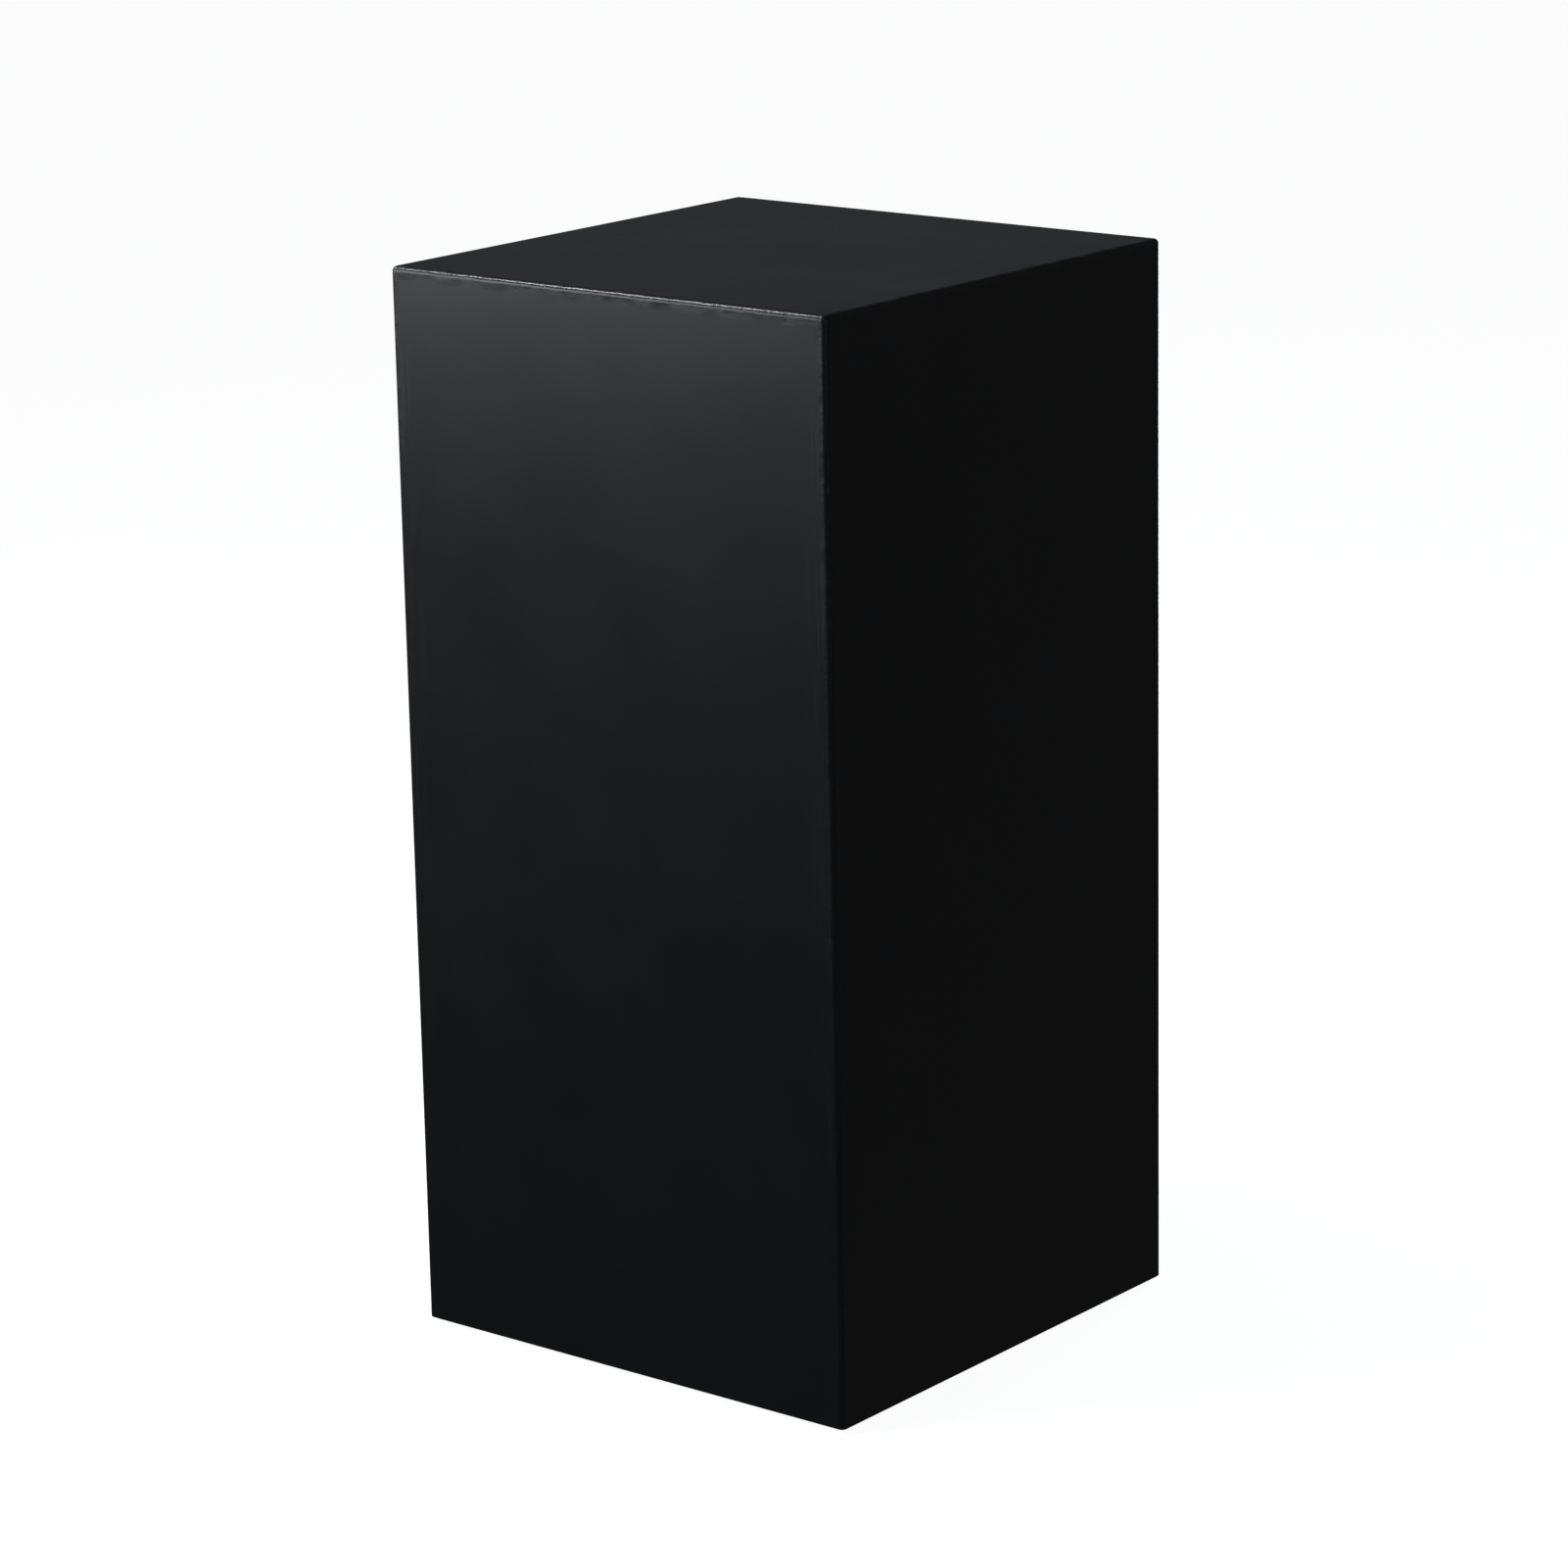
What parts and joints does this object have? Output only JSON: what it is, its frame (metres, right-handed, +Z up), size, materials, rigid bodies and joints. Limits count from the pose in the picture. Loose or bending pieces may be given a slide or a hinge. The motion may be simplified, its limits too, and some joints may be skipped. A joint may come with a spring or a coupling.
{
  "type": "display plinth",
  "caption": "Tall square box plinth with a flat top, mitred lacquered boards on a hidden timber frame, and screw-adjusted levelling feet under a let-in base.",
  "frame": {"origin": "on the floor under the middle of the plinth, level with the undersides of the foot pads wound in", "axes": "+Z up, front towards -Y, +X to the right of the front"},
  "size_m": [0.3, 0.3, 0.609],
  "materials": {
    "lacquered_board": "satin",
    "plywood": "matte",
    "pine": "matte",
    "beech": "matte",
    "zinc_screws": "satin",
    "zinc_steel": "satin",
    "nylon": "satin"
  },
  "bodies": {
    "case": {"front_panel": "lacquered_board", "right_panel": "lacquered_board", "back_panel": "lacquered_board", "left_panel": "lacquered_board", "top_panel": "lacquered_board", "base_panel": "plywood", "mid_brace": "plywood", "corner_batten_front_left": "pine", "corner_batten_front_right": "pine", "corner_batten_back_right": "pine", "corner_batten_back_left": "pine", "base_rail_front": "pine", "base_rail_right": "pine", "base_rail_back": "pine", "base_rail_left": "pine", "top_cleat_front": "pine", "top_cleat_right": "pine", "top_cleat_back": "pine", "top_cleat_left": "pine", "brace_cleat_front": "pine", "brace_cleat_right": "pine", "brace_cleat_back": "pine", "brace_cleat_left": "pine", "corner_biscuits_front_left": "beech", "corner_biscuits_front_right": "beech", "corner_biscuits_back_right": "beech", "corner_biscuits_back_left": "beech", "top_biscuits": "beech", "base_screws": "zinc_screws", "base_rail_screws": "zinc_screws", "batten_screws": "zinc_screws", "top_cleat_screws": "zinc_screws", "brace_cleat_screws": "zinc_screws", "brace_screws": "zinc_screws", "tee_nut_front_left": "zinc_steel", "tee_nut_front_right": "zinc_steel", "tee_nut_back_right": "zinc_steel", "tee_nut_back_left": "zinc_steel"},
    "foot_front_left": {"foot_pad_front_left": "nylon"},
    "screw_front_left": {"foot_stem_front_left": "zinc_steel"},
    "foot_front_right": {"foot_pad_front_right": "nylon"},
    "screw_front_right": {"foot_stem_front_right": "zinc_steel"},
    "foot_back_right": {"foot_pad_back_right": "nylon"},
    "screw_back_right": {"foot_stem_back_right": "zinc_steel"},
    "foot_back_left": {"foot_pad_back_left": "nylon"},
    "screw_back_left": {"foot_stem_back_left": "zinc_steel"}
  },
  "joints": [
    {"name": "foot_front_left_travel", "type": "slide", "parent": "case", "child": "foot_front_left", "axis": [0, 0, -1], "range_m": [0, 0.02]},
    {"name": "foot_front_left_turn", "type": "hinge", "parent": "foot_front_left", "child": "screw_front_left", "pos_m": [-0.095, -0.095, 0], "axis": [0, 0, -1], "range_deg": [0, 5760]},
    {"name": "foot_front_right_travel", "type": "slide", "parent": "case", "child": "foot_front_right", "axis": [0, 0, -1], "range_m": [0, 0.02]},
    {"name": "foot_front_right_turn", "type": "hinge", "parent": "foot_front_right", "child": "screw_front_right", "pos_m": [0.095, -0.095, 0], "axis": [0, 0, -1], "range_deg": [0, 5760]},
    {"name": "foot_back_right_travel", "type": "slide", "parent": "case", "child": "foot_back_right", "axis": [0, 0, -1], "range_m": [0, 0.02]},
    {"name": "foot_back_right_turn", "type": "hinge", "parent": "foot_back_right", "child": "screw_back_right", "pos_m": [0.095, 0.095, 0], "axis": [0, 0, -1], "range_deg": [0, 5760]},
    {"name": "foot_back_left_travel", "type": "slide", "parent": "case", "child": "foot_back_left", "axis": [0, 0, -1], "range_m": [0, 0.02]},
    {"name": "foot_back_left_turn", "type": "hinge", "parent": "foot_back_left", "child": "screw_back_left", "pos_m": [-0.095, 0.095, 0], "axis": [0, 0, -1], "range_deg": [0, 5760]}
  ],
  "couplings": [
    {"joint": "foot_front_left_travel", "follows": "foot_front_left_turn", "m_per_rad": 0.00019894},
    {"joint": "foot_front_right_travel", "follows": "foot_front_right_turn", "m_per_rad": 0.00019894},
    {"joint": "foot_back_right_travel", "follows": "foot_back_right_turn", "m_per_rad": 0.00019894},
    {"joint": "foot_back_left_travel", "follows": "foot_back_left_turn", "m_per_rad": 0.00019894}
  ]
}
